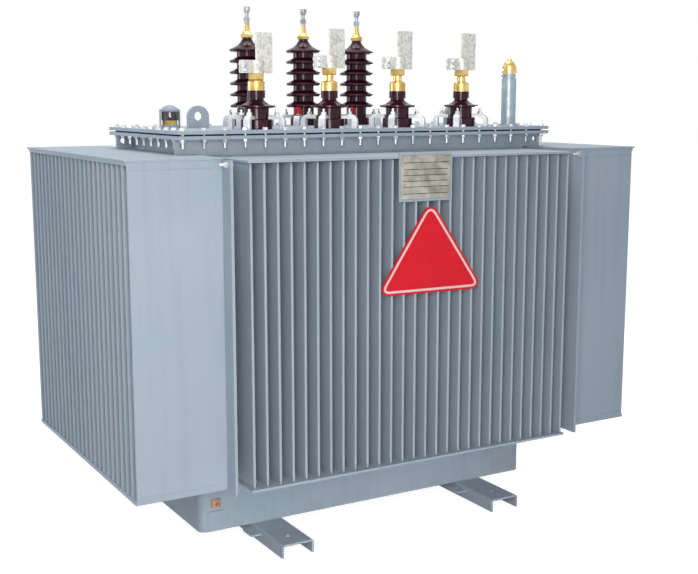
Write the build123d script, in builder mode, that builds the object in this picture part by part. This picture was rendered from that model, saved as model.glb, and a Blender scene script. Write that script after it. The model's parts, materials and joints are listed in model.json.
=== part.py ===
import os

from build123d import *

os.makedirs("parts", exist_ok=True)

# Tank: a welded box on two skids, wider at the fins than at its foot and collar
tank_length = 1482.0
tank_width = 628.0
tank_edge_radius = 30.0
skirt_height = 252.0
bank_height = 1130.0
collar_height = 60.0

# Skids: pressed channels, open side down, with one fixing hole near each end
skid_web = 130.0
skid_height = 50.0
skid_wall = 8.0
skid_bend_radius = 10.0
skid_length = 1130.0
skid_inset = 273.0
skid_hole_diameter = 26.0
skid_hole_end_distance = 80.0
skid_tab_width = 42.0
skid_tab_length = 84.0
skid_tab_corner = 10.0
skid_tab_hole_diameter = 18.0

# Corrugated walls: hollow fins folded from sheet, their ends pinched flat and welded
fin_pitch = 50.0
fin_thickness = 10.0
fin_seam_thickness = 4.0
fin_seam_height = 28.0
fin_corner_radius = 12.0
front_bank_margin = 61.0
front_sheet = 4.0
front_fin_depth = 332.0
end_bank_margin = 75.0
end_sheet = 6.0
end_fin_depth = 325.5
end_sheet_margin = 5.5
end_fin_rise = 10.0
end_strip_width = 36.0
end_strip_thickness = 4.0

# Plates that close the fin banks
front_plate = 8.0
front_plate_side_margin = 8.0
front_plate_tip_margin = 6.0
end_plate = 6.0
end_plate_side_margin = 3.0
end_plate_tip_margin = 9.0

# Bolted lid: frame welded to the collar, gasket and cover
lid_end_overhang = 73.0
lid_side_overhang = 53.0
lid_corner_radius = 12.0
flange_thickness = 12.0
gasket_thickness = 6.0
gasket_setback = 20.0
gasket_width = 55.0
lid_thickness = 12.0

# Drilled lugs at the four corners of the collar, under the frame
corner_lug_reach = 62.0
corner_lug_thickness = 12.0
corner_lug_hole_diameter = 20.0
corner_lug_hole_edge = 25.0
corner_lug_hole_drop = 22.0

# High-voltage bushings, in a row along the rear of the lid
hv_count = 3
hv_spacing = 258.0
hv_row_inset = 59.0
hv_rim_radius = 56.0
hv_rim_height = 30.0
hv_core_radius = 43.0
hv_core_root_radius = 4.0
hv_shed_radius = 72.5
hv_shed_count = 6
hv_first_shed = 80.5
hv_shed_pitch = 44.8
hv_shed_edge_radius = 6.0
hv_shed_slope = 12.0
hv_shed_undercut = 6.0
hv_neck_waist_radius = 30.0
hv_neck_waist_rise = 11.0
hv_neck_top_radius = 20.0
hv_neck_top_rise = 26.0
hv_porcelain_height = 355.0
hv_cap_nut_width = 48.0
hv_cap_nut_height = 16.0
hv_cap_nut_chamfer = 4.0
hv_cap_dome_radius = 21.0
hv_cap_cone_radius = 14.0
hv_cap_neck_radius = 10.0
hv_cap_dome_height = 7.0
hv_cap_height = 55.0
hv_stud_radius = 8.0
hv_stud_height = 67.0
hv_sleeve_radius = 9.5
hv_sleeve_height = 10.0
hv_nut_width = 24.0
hv_nut_height = 15.0

# Low-voltage bushings, in a row along the front of the lid
lv_count = 4
lv_spacing = 304.0
lv_row_inset = 74.0
lv_rim_radius = 58.0
lv_rim_height = 36.0
lv_rim_chamfer = 3.0
lv_body_radius = 45.0
lv_skirt_radius = 69.0
lv_skirt_underside = 74.0
lv_skirt_edge_bottom = 79.0
lv_skirt_edge_top = 85.0
lv_skirt_waist_radius = 44.0
lv_skirt_waist_height = 92.0
lv_groove_radius = 27.0
lv_groove_bottom = 105.0
lv_groove_top = 112.0
lv_neck_radius = 32.0
lv_porcelain_height = 139.0
lv_cap_radius = 30.5
lv_cap_shoulder = 6.0
lv_cap_height = 37.0
lv_stem_radius = 16.5
lv_stem_above_nut = 42.0
lv_nut_width = 53.0
lv_nut_height = 25.0
lv_nut_chamfer = 3.0
lv_nut_lifts = (0.0, 22.0, 22.0, 22.0)

# Flag terminals clamped round the low-voltage stems
flag_bore_clearance = 0.3
flag_ring_radius = 29.0
flag_height = 46.0
flag_ear_reach = 62.0
flag_ear_depth = 30.0
flag_ear_corner = 6.0
flag_slit = 4.0
flag_palm_start = 1.0
flag_palm_width = 63.0
flag_palm_height = 145.0
flag_palm_thickness = 12.0
flag_palm_corner = 4.0

# Cast claws that hold the bushings down by their rims
claw_count = 4
claw_start_angle = 45.0
claw_width = 26.0
claw_arm = 14.0
claw_post = 20.0
claw_reach_over_rim = 9.0
claw_post_gap = 33.0
claw_shoulder = 26.0
claw_edge_radius = 5.0

# Filler pipe with its relief valve
filler_end_inset = 43.0
filler_radius = 30.15
filler_height = 192.0
filler_foot_radius = 40.0
filler_foot_height = 8.0
filler_collar_radius = 27.0
filler_collar_height = 20.0
filler_pin_radius = 3.0
filler_pin_reach = 40.0
valve_ring_radius = 28.5
valve_ring_height = 12.0
valve_groove_radius = 24.0
valve_groove_height = 5.0
valve_band_height = 13.0
valve_dome_radius = 24.5
valve_dome_height = 24.0
valve_knob_radius = 9.5
valve_knob_height = 6.0
valve_lever_thickness = 10.0
valve_lever_root = 12.0
valve_lever_reach = 41.0
valve_lever_top_reach = 31.0

# Oil level gauge at the left end of the lid, screwed into a boss and guarded by two straps
gauge_end_inset = 43.0
gauge_boss_radius = 30.0
gauge_boss_height = 14.0
gauge_base_width = 51.0
gauge_base_height = 16.0
gauge_glass_radius = 29.0
gauge_glass_height = 33.0
gauge_cap_radius = 32.0
gauge_cap_rim = 8.0
gauge_cap_dome = 16.0
gauge_strap_gap = 4.0
gauge_strap_width = 14.0
gauge_strap_thickness = 3.0

# Lifting lugs on the lid's long centre line
lug_end_inset = 155.0
lug_width = 85.0
lug_height = 84.0
lug_thickness = 16.0
lug_eye_diameter = 34.0
lug_eye_height = 45.0

# Fittings on the front of the skirt, at its left corner
earth_pad_inset = 61.0
earth_pad_height = 159.0
earth_pad_width = 35.0
earth_pad_depth = 32.0
earth_pad_thickness = 8.0
earth_hole_diameter = 12.0
corner_plate_inset = 62.0
corner_plate_height = 90.0
corner_plate_width = 67.0
corner_plate_depth = 76.0
corner_plate_thickness = 6.0

# Levels and faces that several pieces share
skirt_bottom = skid_height
bank_bottom = skirt_bottom + skirt_height
bank_top = bank_bottom + bank_height
flange_bottom = bank_top + collar_height
gasket_bottom = flange_bottom + flange_thickness
lid_bottom = gasket_bottom + gasket_thickness
lid_top = lid_bottom + lid_thickness
tank_front = -tank_width / 2
tank_left = -tank_length / 2
skid_x = tank_left + skid_inset
lid_length = tank_length + 2 * lid_end_overhang
lid_width = tank_width + 2 * lid_side_overhang
fin_top = bank_top - front_plate
end_fin_top = fin_top + end_fin_rise
end_plate_top = end_fin_top + end_plate
hv_row = -tank_front - hv_row_inset
lv_row = tank_front + lv_row_inset
hv_stations = [((i - (hv_count - 1) / 2) * hv_spacing, hv_row) for i in range(hv_count)]
lv_stations = [((i - (lv_count - 1) / 2) * lv_spacing, lv_row) for i in range(lv_count)]
filler_x = -tank_left - filler_end_inset
gauge_x = tank_left + gauge_end_inset
lug_x = tank_left + lug_end_inset


def keep(piece, name):
    piece.part.label = name
    export_step(piece.part, f"parts/{name}.step")


def upright(x, y, base=lid_top):
    return Plane(origin=(x, y, base), x_dir=(1, 0, 0), z_dir=(0, -1, 0))


def slab(x_span, y_span, bottom, thickness):
    x_mid = (x_span[0] + x_span[1]) / 2
    y_mid = (y_span[0] + y_span[1]) / 2
    with BuildPart() as piece:
        with BuildSketch(Plane((x_mid, y_mid, bottom))):
            Rectangle(x_span[1] - x_span[0], y_span[1] - y_span[0])
        extrude(amount=thickness)
    return piece


def mirrored(piece, about):
    with BuildPart() as copy:
        mirror(piece.part, about=about)
    return copy


# Skids
def skid(x):
    with BuildPart() as channel:
        with BuildSketch(Plane.XZ):
            with Locations((x, skid_height / 2)):
                Rectangle(skid_web, skid_height)
        extrude(amount=skid_length / 2, both=True)
        top_edges = channel.faces().sort_by(Axis.Z)[-1].edges().filter_by(Axis.Y)
        fillet(top_edges, radius=skid_bend_radius)
        with BuildSketch(Plane.XZ):
            with Locations((x, (skid_height - skid_wall) / 2)):
                Rectangle(skid_web - 2 * skid_wall, skid_height - skid_wall)
        extrude(amount=skid_length / 2, both=True, mode=Mode.SUBTRACT)
        tab_x = x - (skid_web + skid_tab_width) / 2
        tab_y = (tank_width + skid_tab_length) / 2
        join_width = (skid_tab_width + skid_wall) / 2
        join_x = tab_x + join_width / 2
        with BuildSketch(Plane.XY.offset(skid_height - skid_bend_radius)):
            with Locations((tab_x, -tab_y), (tab_x, tab_y)):
                RectangleRounded(skid_tab_width, skid_tab_length, skid_tab_corner)
            with Locations((join_x, -tab_y), (join_x, tab_y)):
                Rectangle(join_width, skid_tab_length)
        extrude(amount=-skid_wall)
        hole_y = skid_length / 2 - skid_hole_end_distance
        with Locations((x, -hole_y, skid_height), (x, hole_y, skid_height)):
            Hole(radius=skid_hole_diameter / 2, depth=2 * skid_wall)
        with Locations((tab_x, -tab_y, skid_height), (tab_x, tab_y, skid_height)):
            Hole(radius=skid_tab_hole_diameter / 2)
    return channel


keep(skid(skid_x), "left_skid")
keep(skid(-skid_x), "right_skid")


# Tank
def tank_box(bottom, top):
    with BuildPart() as box:
        with BuildSketch(Plane.XY.offset(bottom)):
            RectangleRounded(tank_length, tank_width, tank_edge_radius)
        extrude(amount=top - bottom)
    return box


keep(tank_box(skirt_bottom, bank_bottom), "tank_skirt")
keep(tank_box(bank_bottom, gasket_bottom), "tank_body")

# Corner lugs
with BuildPart() as corner_lug:
    lug_reach = tank_left - corner_lug_reach
    lug_middle = (end_plate_top + flange_bottom) / 2
    with BuildSketch(Plane.XZ.offset(-tank_front)):
        with Locations(((lug_reach + tank_left + tank_edge_radius) / 2, lug_middle)):
            Rectangle(corner_lug_reach + tank_edge_radius, flange_bottom - end_plate_top)
        with Locations((lug_reach + corner_lug_hole_edge, flange_bottom - corner_lug_hole_drop)):
            Circle(corner_lug_hole_diameter / 2, mode=Mode.SUBTRACT)
    extrude(amount=-corner_lug_thickness)
    add(tank_box(bank_top, flange_bottom).part, mode=Mode.SUBTRACT)
with BuildPart() as corner_lugs:
    add(corner_lug.part)
    mirror(about=Plane.YZ)
    mirror(about=Plane.XZ)
keep(corner_lugs, "corner_lugs")

# Bolted joint
with BuildPart() as tank_flange:
    with BuildSketch(Plane.XY.offset(flange_bottom)):
        RectangleRounded(lid_length, lid_width, lid_corner_radius)
        RectangleRounded(tank_length, tank_width, tank_edge_radius, mode=Mode.SUBTRACT)
    extrude(amount=flange_thickness)
keep(tank_flange, "tank_flange")

with BuildPart() as lid_gasket:
    gasket_length = lid_length - 2 * gasket_setback
    gasket_depth = lid_width - 2 * gasket_setback
    with BuildSketch(Plane.XY.offset(gasket_bottom)):
        RectangleRounded(gasket_length, gasket_depth, lid_corner_radius)
        Rectangle(gasket_length - 2 * gasket_width, gasket_depth - 2 * gasket_width, mode=Mode.SUBTRACT)
    extrude(amount=gasket_thickness)
keep(lid_gasket, "lid_gasket")

with BuildPart() as lid:
    with BuildSketch(Plane.XY.offset(lid_bottom)):
        RectangleRounded(lid_length, lid_width, lid_corner_radius)
    extrude(amount=lid_thickness)
    with BuildSketch(Plane((gauge_x, 0, lid_top))):
        Circle(gauge_boss_radius)
    extrude(amount=gauge_boss_height)
keep(lid, "lid")


# Corrugated walls
def pinched_side(bottom, top):
    full = fin_thickness / 2
    seam = fin_seam_thickness / 2
    return [
        (seam, bottom),
        (full, bottom + fin_seam_height),
        (full, top - fin_seam_height),
        (seam, top),
        (-seam, top),
        (-full, top - fin_seam_height),
        (-full, bottom + fin_seam_height),
        (-seam, bottom),
    ]


def tip_rounded(outline):
    with BuildSketch(mode=Mode.PRIVATE) as side:
        with BuildLine():
            Polyline(*outline, close=True)
        make_face()
        fillet(side.vertices().group_by(Axis.X)[0], radius=fin_corner_radius)
    return side.sketch


front_fin_count = int((tank_length - 2 * front_bank_margin) // fin_pitch) + 1
front_fin_bottom = bank_bottom + front_plate
front_fin_root = tank_front - front_sheet
front_tip = front_fin_root - front_fin_depth
front_tip_centre = front_tip + fin_thickness / 2
front_side = tip_rounded(
    [
        (front_fin_root, front_fin_bottom),
        (front_fin_root, fin_top),
        (front_tip, fin_top),
        (front_tip, front_fin_bottom),
    ]
)
with BuildPart() as front_fins:
    with BuildSketch(Plane.XY.offset(front_fin_bottom)):
        with Locations((0, (front_fin_root + front_tip_centre) / 2)):
            with GridLocations(fin_pitch, 0, front_fin_count, 1):
                Rectangle(fin_thickness, front_fin_root - front_tip_centre)
        with Locations((0, front_tip_centre)):
            with GridLocations(fin_pitch, 0, front_fin_count, 1):
                Circle(fin_thickness / 2)
    extrude(amount=fin_top - front_fin_bottom)
    with BuildSketch(Plane.XZ.offset(-front_fin_root)):
        with GridLocations(fin_pitch, 0, front_fin_count, 1):
            Polygon(*pinched_side(front_fin_bottom, fin_top), align=None)
    extrude(amount=front_fin_depth, mode=Mode.INTERSECT)
    with BuildSketch(Plane.YZ):
        add(front_side)
    extrude(amount=tank_length / 2, both=True, mode=Mode.INTERSECT)
    with BuildSketch(Plane.XY.offset(front_fin_bottom)):
        with Locations((0, (tank_front + front_fin_root) / 2)):
            Rectangle(tank_length, front_sheet)
    extrude(amount=fin_top - front_fin_bottom)
keep(front_fins, "front_fins")
keep(mirrored(front_fins, Plane.XZ), "rear_fins")

end_sheet_width = tank_width + 2 * (front_sheet + front_fin_depth + end_sheet_margin)
end_fin_count = int((end_sheet_width - 2 * end_bank_margin) // fin_pitch) + 1
end_fin_root = tank_left - end_sheet
end_tip = end_fin_root - end_fin_depth
end_tip_centre = end_tip + fin_thickness / 2
end_side = tip_rounded(
    [
        (end_fin_root, bank_bottom),
        (end_fin_root, end_fin_top),
        (end_tip, end_fin_top),
        (end_tip, bank_bottom),
    ]
)
with BuildPart() as left_fins:
    with BuildSketch(Plane.XY.offset(bank_bottom)):
        with Locations(((end_fin_root + end_tip_centre) / 2, 0)):
            with GridLocations(0, fin_pitch, 1, end_fin_count):
                Rectangle(end_fin_root - end_tip_centre, fin_thickness)
        with Locations((end_tip_centre, 0)):
            with GridLocations(0, fin_pitch, 1, end_fin_count):
                Circle(fin_thickness / 2)
    extrude(amount=end_fin_top - bank_bottom)
    with BuildSketch(Plane.YZ.offset(end_tip)):
        with GridLocations(fin_pitch, 0, end_fin_count, 1):
            Polygon(*pinched_side(bank_bottom, end_fin_top), align=None)
    extrude(amount=end_fin_depth, mode=Mode.INTERSECT)
    with BuildSketch(Plane.XZ):
        add(end_side)
    extrude(amount=end_sheet_width / 2, both=True, mode=Mode.INTERSECT)
    with BuildSketch(Plane.XY.offset(bank_bottom)):
        with Locations(((tank_left + end_fin_root) / 2, 0)):
            Rectangle(end_sheet, end_sheet_width)
        strip_y = (end_sheet_width - end_strip_width) / 2
        with Locations((end_fin_root, -strip_y), (end_fin_root, strip_y)):
            Rectangle(2 * end_strip_thickness, end_strip_width)
    extrude(amount=end_fin_top - bank_bottom)
keep(left_fins, "left_fins")
keep(mirrored(left_fins, Plane.YZ), "right_fins")

# Plates over and under the fin banks
front_half_span = (front_fin_count - 1) / 2 * fin_pitch + fin_thickness / 2 + front_plate_side_margin
front_reach = front_tip - front_plate_tip_margin
front_span = (-front_half_span, front_half_span)
front_top_plate = slab(front_span, (front_reach, tank_front), fin_top, front_plate)
front_bottom_plate = slab(front_span, (front_reach, tank_front), bank_bottom, front_plate)
keep(front_top_plate, "front_top_plate")
keep(front_bottom_plate, "front_bottom_plate")
keep(mirrored(front_top_plate, Plane.XZ), "rear_top_plate")
keep(mirrored(front_bottom_plate, Plane.XZ), "rear_bottom_plate")

end_half_span = (end_fin_count - 1) / 2 * fin_pitch + fin_thickness / 2 + end_plate_side_margin
left_top_plate = slab(
    (end_tip - end_plate_tip_margin, tank_left),
    (-end_half_span, end_half_span),
    end_fin_top,
    end_plate,
)
keep(left_top_plate, "left_top_plate")
keep(mirrored(left_top_plate, Plane.YZ), "right_top_plate")


# High-voltage bushings
def hv_porcelain(x, y):
    straight = hv_shed_radius - hv_shed_edge_radius
    foot = hv_rim_height
    with BuildPart() as porcelain:
        with BuildSketch(upright(x, y)) as profile:
            with BuildLine():
                Polyline((0, 0), (hv_rim_radius, 0), (hv_rim_radius, foot), (hv_core_radius, foot))
                for i in range(hv_shed_count):
                    middle = hv_first_shed + i * hv_shed_pitch
                    under = middle - hv_shed_edge_radius
                    over = middle + hv_shed_edge_radius
                    Polyline(
                        (hv_core_radius, foot),
                        (hv_core_radius, under + hv_shed_undercut),
                        (straight, under),
                    )
                    ThreePointArc((straight, under), (hv_shed_radius, middle), (straight, over))
                    foot = over + hv_shed_slope
                    Line((straight, over), (hv_core_radius, foot))
                ThreePointArc(
                    (hv_core_radius, foot),
                    (hv_neck_waist_radius, foot + hv_neck_waist_rise),
                    (hv_neck_top_radius, foot + hv_neck_top_rise),
                )
                Polyline(
                    (hv_neck_top_radius, foot + hv_neck_top_rise),
                    (hv_neck_top_radius, hv_porcelain_height),
                    (0, hv_porcelain_height),
                    (0, 0),
                )
            make_face()
            roots = profile.vertices().filter_by(lambda v: v.X == hv_core_radius and v.Y < foot)
            fillet(roots, radius=hv_core_root_radius)
        revolve(axis=Axis((x, y, 0), (0, 0, 1)))
    return porcelain


def hv_cap(x, y):
    base = lid_top + hv_porcelain_height
    dome_top = hv_cap_nut_height + hv_cap_dome_height
    with BuildPart() as cap:
        with BuildSketch(Plane((x, y, base))):
            RegularPolygon(hv_cap_nut_width / 2, 6, major_radius=False)
        extrude(amount=hv_cap_nut_height)
        chamfer(cap.faces().sort_by(Axis.Z)[-1].edges(), length=hv_cap_nut_chamfer)
        with BuildSketch(upright(x, y, base)):
            with BuildLine():
                Polyline(
                    (0, 0),
                    (hv_cap_dome_radius, 0),
                    (hv_cap_dome_radius, hv_cap_nut_height),
                    (hv_cap_cone_radius, dome_top),
                    (hv_cap_neck_radius, hv_cap_height),
                    (0, hv_cap_height),
                    close=True,
                )
            make_face()
        revolve(axis=Axis((x, y, 0), (0, 0, 1)))
    return cap


def hv_stud(x, y):
    base = lid_top + hv_porcelain_height + hv_cap_height
    with BuildPart() as stud:
        with BuildSketch(Plane((x, y, base))):
            Circle(hv_stud_radius)
        extrude(amount=hv_stud_height)
        with BuildSketch(Plane((x, y, base))):
            Circle(hv_sleeve_radius)
        extrude(amount=hv_sleeve_height)
        with BuildSketch(Plane((x, y, base + hv_sleeve_height))):
            RegularPolygon(hv_nut_width / 2, 6, major_radius=False)
        extrude(amount=hv_nut_height)
    return stud


for number, (x, y) in enumerate(hv_stations, start=1):
    keep(hv_porcelain(x, y), f"hv_porcelain_{number}")
    keep(hv_cap(x, y), f"hv_cap_{number}")
    keep(hv_stud(x, y), f"hv_stud_{number}")


# Low-voltage bushings
def lv_porcelain(x, y):
    with BuildPart() as porcelain:
        with BuildSketch(upright(x, y)):
            with BuildLine():
                Polyline(
                    (0, 0),
                    (lv_rim_radius, 0),
                    (lv_rim_radius, lv_rim_height - lv_rim_chamfer),
                    (lv_rim_radius - lv_rim_chamfer, lv_rim_height),
                    (lv_body_radius, lv_rim_height),
                    (lv_body_radius, lv_skirt_underside),
                    (lv_skirt_radius, lv_skirt_edge_bottom),
                    (lv_skirt_radius, lv_skirt_edge_top),
                )
                ThreePointArc(
                    (lv_skirt_radius, lv_skirt_edge_top),
                    (lv_skirt_waist_radius, lv_skirt_waist_height),
                    (lv_groove_radius, lv_groove_bottom),
                )
                Polyline(
                    (lv_groove_radius, lv_groove_bottom),
                    (lv_groove_radius, lv_groove_top),
                    (lv_neck_radius, lv_groove_top),
                    (lv_neck_radius, lv_porcelain_height),
                    (0, lv_porcelain_height),
                    (0, 0),
                )
            make_face()
        revolve(axis=Axis((x, y, 0), (0, 0, 1)))
    return porcelain


def lv_nut_bottom(lift):
    return lv_porcelain_height + lv_cap_height + lift


def lv_stem(x, y, lift):
    nut_bottom = lv_nut_bottom(lift)
    stem_top = nut_bottom + lv_nut_height + lv_stem_above_nut
    cap_top = lv_porcelain_height + lv_cap_height
    with BuildPart() as stem:
        with BuildSketch(Plane((x, y, lid_top + nut_bottom))):
            RegularPolygon(lv_nut_width / 2, 6, major_radius=False)
        extrude(amount=lv_nut_height)
        chamfer(stem.faces().sort_by(Axis.Z)[0].edges(), length=lv_nut_chamfer)
        with BuildSketch(upright(x, y)):
            with BuildLine():
                Polyline(
                    (0, lv_porcelain_height),
                    (lv_cap_radius, lv_porcelain_height),
                    (lv_cap_radius, cap_top - lv_cap_shoulder),
                    (lv_cap_radius - lv_cap_shoulder, cap_top),
                    (lv_stem_radius, cap_top),
                    (lv_stem_radius, stem_top),
                    (0, stem_top),
                    close=True,
                )
            make_face()
        revolve(axis=Axis((x, y, 0), (0, 0, 1)))
    return stem


def lv_flag(x, y, lift):
    base = lid_top + lv_nut_bottom(lift) + lv_nut_height
    palm_middle = flag_palm_start + flag_palm_width / 2
    with BuildPart() as flag:
        with BuildSketch(Plane((x, y, base))):
            Circle(flag_ring_radius)
            with Locations((-flag_ear_reach / 2, 0)):
                Rectangle(flag_ear_reach, flag_ear_depth)
        extrude(amount=flag_height)
        fillet(flag.edges().filter_by(Axis.Z).group_by(Axis.X)[0], radius=flag_ear_corner)
        with BuildSketch(upright(x, y, base)):
            with Locations((palm_middle, flag_palm_height / 2)):
                RectangleRounded(flag_palm_width, flag_palm_height, flag_palm_corner)
        extrude(amount=flag_palm_thickness / 2, both=True)
        with BuildSketch(Plane((x, y, base))):
            Circle(lv_stem_radius + flag_bore_clearance)
            with Locations((-flag_ear_reach / 2, 0)):
                Rectangle(flag_ear_reach, flag_slit)
        extrude(amount=flag_height, mode=Mode.SUBTRACT)
    return flag


for number, ((x, y), lift) in enumerate(zip(lv_stations, lv_nut_lifts), start=1):
    keep(lv_porcelain(x, y), f"lv_porcelain_{number}")
    keep(lv_stem(x, y, lift), f"lv_stem_{number}")
    keep(lv_flag(x, y, lift), f"lv_flag_{number}")


# Claws, four round each bushing
def claws(stations, rim_radius, rim_height):
    tip = rim_radius - claw_reach_over_rim
    outside = rim_radius + claw_post_gap + claw_post
    inside = outside - claw_post
    top = rim_height + claw_arm
    with BuildPart() as claw:
        with BuildSketch(Plane.XZ):
            with BuildLine():
                Polyline((outside, top - claw_shoulder), (outside, 0), (inside, 0), (inside, rim_height))
                Polyline((inside, rim_height), (tip, rim_height), (tip, top), (outside - claw_shoulder, top))
                TangentArc((outside - claw_shoulder, top), (outside, top - claw_shoulder), tangent=(1, 0))
            make_face()
        extrude(amount=claw_width / 2, both=True)
        fillet(claw.edges().filter_by(Axis.Z).group_by(Axis.X)[-1], radius=claw_edge_radius)
    with BuildPart() as ring:
        with Locations(*[(x, y, lid_top) for x, y in stations]):
            with PolarLocations(0, claw_count, claw_start_angle):
                add(claw.part)
    return ring


keep(claws(hv_stations, hv_rim_radius, hv_rim_height), "hv_claws")
keep(claws(lv_stations, lv_rim_radius, lv_rim_height), "lv_claws")

# Filler pipe and valve
collar_top = filler_height + filler_collar_height
with BuildPart() as filler_pipe:
    with BuildSketch(upright(filler_x, lv_row)):
        with BuildLine():
            Polyline(
                (0, 0),
                (filler_foot_radius, 0),
                (filler_foot_radius, filler_foot_height),
                (filler_radius, filler_foot_height),
                (filler_radius, filler_height),
                (filler_collar_radius, filler_height),
                (filler_collar_radius, collar_top),
                (0, collar_top),
                close=True,
            )
        make_face()
    revolve(axis=Axis((filler_x, lv_row, 0), (0, 0, 1)))
    with BuildSketch(Plane.YZ.offset(filler_x)):
        with Locations((lv_row, lid_top + filler_height + filler_collar_height / 2)):
            Circle(filler_pin_radius)
    extrude(amount=-filler_pin_reach)
keep(filler_pipe, "filler_pipe")

groove_top = valve_ring_height + valve_groove_height
band_top = groove_top + valve_band_height
dome_top = band_top + valve_dome_height
with BuildPart() as filler_valve:
    with BuildSketch(upright(filler_x, lv_row, lid_top + collar_top)):
        with BuildLine():
            Polyline(
                (0, dome_top),
                (0, 0),
                (valve_ring_radius, 0),
                (valve_ring_radius, valve_ring_height),
                (valve_groove_radius, valve_ring_height),
                (valve_groove_radius, groove_top),
                (valve_ring_radius, groove_top),
                (valve_ring_radius, band_top),
                (valve_dome_radius, band_top),
            )
            TangentArc((0, dome_top), (valve_dome_radius, band_top), tangent=(1, 0))
        make_face()
        with Locations((valve_knob_radius / 2, (band_top + dome_top + valve_knob_height) / 2)):
            Rectangle(valve_knob_radius, valve_dome_height + valve_knob_height)
    revolve(axis=Axis((filler_x, lv_row, 0), (0, 0, 1)))
    with BuildSketch(upright(filler_x, lv_row, lid_top + collar_top)):
        with BuildLine():
            Polyline(
                (valve_lever_root, band_top),
                (valve_lever_top_reach, band_top),
                (valve_lever_reach, 0),
                (valve_lever_root, 0),
                close=True,
            )
        make_face()
    extrude(amount=valve_lever_thickness / 2, both=True)
keep(filler_valve, "filler_valve")

# Oil level gauge
gauge_base_bottom = lid_top + gauge_boss_height
gauge_glass_bottom = gauge_base_bottom + gauge_base_height
gauge_cap_bottom = gauge_glass_bottom + gauge_glass_height
with BuildPart() as gauge_base:
    with BuildSketch(Plane((gauge_x, 0, gauge_base_bottom))):
        RegularPolygon(gauge_base_width / 2, 6, major_radius=False)
    extrude(amount=gauge_base_height)
keep(gauge_base, "gauge_base")

with BuildPart() as gauge_glass:
    with BuildSketch(Plane((gauge_x, 0, gauge_glass_bottom))):
        Circle(gauge_glass_radius)
    extrude(amount=gauge_glass_height)
keep(gauge_glass, "gauge_glass")

strap_x = gauge_cap_radius + gauge_strap_gap + gauge_strap_thickness / 2
with BuildPart() as gauge_cap:
    with BuildSketch(upright(gauge_x, 0, gauge_cap_bottom)):
        with BuildLine():
            crown = gauge_cap_rim + gauge_cap_dome
            Polyline((0, crown), (0, 0), (gauge_cap_radius, 0), (gauge_cap_radius, gauge_cap_rim))
            TangentArc((0, crown), (gauge_cap_radius, gauge_cap_rim), tangent=(1, 0))
        make_face()
    revolve(axis=Axis((gauge_x, 0, 0), (0, 0, 1)))
    with BuildSketch(Plane((gauge_x, 0, lid_top))):
        with Locations((-strap_x, 0), (strap_x, 0)):
            Rectangle(gauge_strap_thickness, gauge_strap_width)
    extrude(amount=gauge_cap_bottom + gauge_cap_rim - lid_top)
    with BuildSketch(Plane((gauge_x, 0, gauge_cap_bottom))):
        Rectangle(2 * strap_x, gauge_strap_width)
    extrude(amount=gauge_cap_rim)
keep(gauge_cap, "gauge_cap")


# Lifting lugs
def lifting_lug(x):
    crown_height = lug_height - lug_width / 2
    with BuildPart() as lug:
        with BuildSketch(upright(x, 0)):
            with BuildLine():
                Polyline(
                    (-lug_width / 2, crown_height),
                    (-lug_width / 2, 0),
                    (lug_width / 2, 0),
                    (lug_width / 2, crown_height),
                )
                CenterArc((0, crown_height), lug_width / 2, 0, 180)
            make_face()
            with Locations((0, lug_eye_height)):
                Circle(lug_eye_diameter / 2, mode=Mode.SUBTRACT)
        extrude(amount=lug_thickness / 2, both=True)
    return lug


keep(lifting_lug(lug_x), "left_lifting_lug")
keep(lifting_lug(-lug_x), "right_lifting_lug")

# Fittings on the skirt
with BuildPart() as earth_pad:
    with BuildSketch(upright(tank_left + earth_pad_inset, tank_front, earth_pad_height)):
        Rectangle(earth_pad_width, earth_pad_depth)
        Circle(earth_hole_diameter / 2, mode=Mode.SUBTRACT)
    extrude(amount=earth_pad_thickness)
keep(earth_pad, "earth_pad")

with BuildPart() as corner_plate:
    with BuildSketch(upright(tank_left + corner_plate_inset, tank_front, corner_plate_height)):
        Rectangle(corner_plate_width, corner_plate_depth)
    extrude(amount=corner_plate_thickness)
keep(corner_plate, "corner_plate")
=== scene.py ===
import json
import math

import bpy
from mathutils import Matrix, Vector


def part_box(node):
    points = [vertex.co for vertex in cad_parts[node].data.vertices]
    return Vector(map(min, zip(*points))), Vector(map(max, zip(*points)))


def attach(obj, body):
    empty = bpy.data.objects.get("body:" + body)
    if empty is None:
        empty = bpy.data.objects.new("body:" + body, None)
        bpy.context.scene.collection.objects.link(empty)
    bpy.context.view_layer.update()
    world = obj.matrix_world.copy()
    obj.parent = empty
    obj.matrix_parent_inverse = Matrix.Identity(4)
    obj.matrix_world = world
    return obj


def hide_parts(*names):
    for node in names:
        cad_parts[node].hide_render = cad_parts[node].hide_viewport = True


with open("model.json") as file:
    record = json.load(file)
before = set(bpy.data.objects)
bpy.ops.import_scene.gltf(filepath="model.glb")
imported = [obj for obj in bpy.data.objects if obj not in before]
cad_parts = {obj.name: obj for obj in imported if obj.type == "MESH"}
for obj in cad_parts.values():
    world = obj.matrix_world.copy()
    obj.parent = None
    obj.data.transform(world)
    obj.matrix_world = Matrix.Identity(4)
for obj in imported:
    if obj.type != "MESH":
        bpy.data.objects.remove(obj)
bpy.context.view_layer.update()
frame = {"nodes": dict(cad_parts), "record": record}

nodes = frame["nodes"]
body = "root"
white = (1.0, 1.0, 1.0, 1.0)
print("frame loaded,", len(nodes), "nodes")


# colours are written as 0-255 screen values and handed to the shaders as linear ones
def chip(red, green, blue):
    def linear(value):
        value = value / 255
        return value / 12.92 if value <= 0.04045 else ((value + 0.055) / 1.055) ** 2.4

    return (linear(red), linear(green), linear(blue), 1.0)


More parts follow.
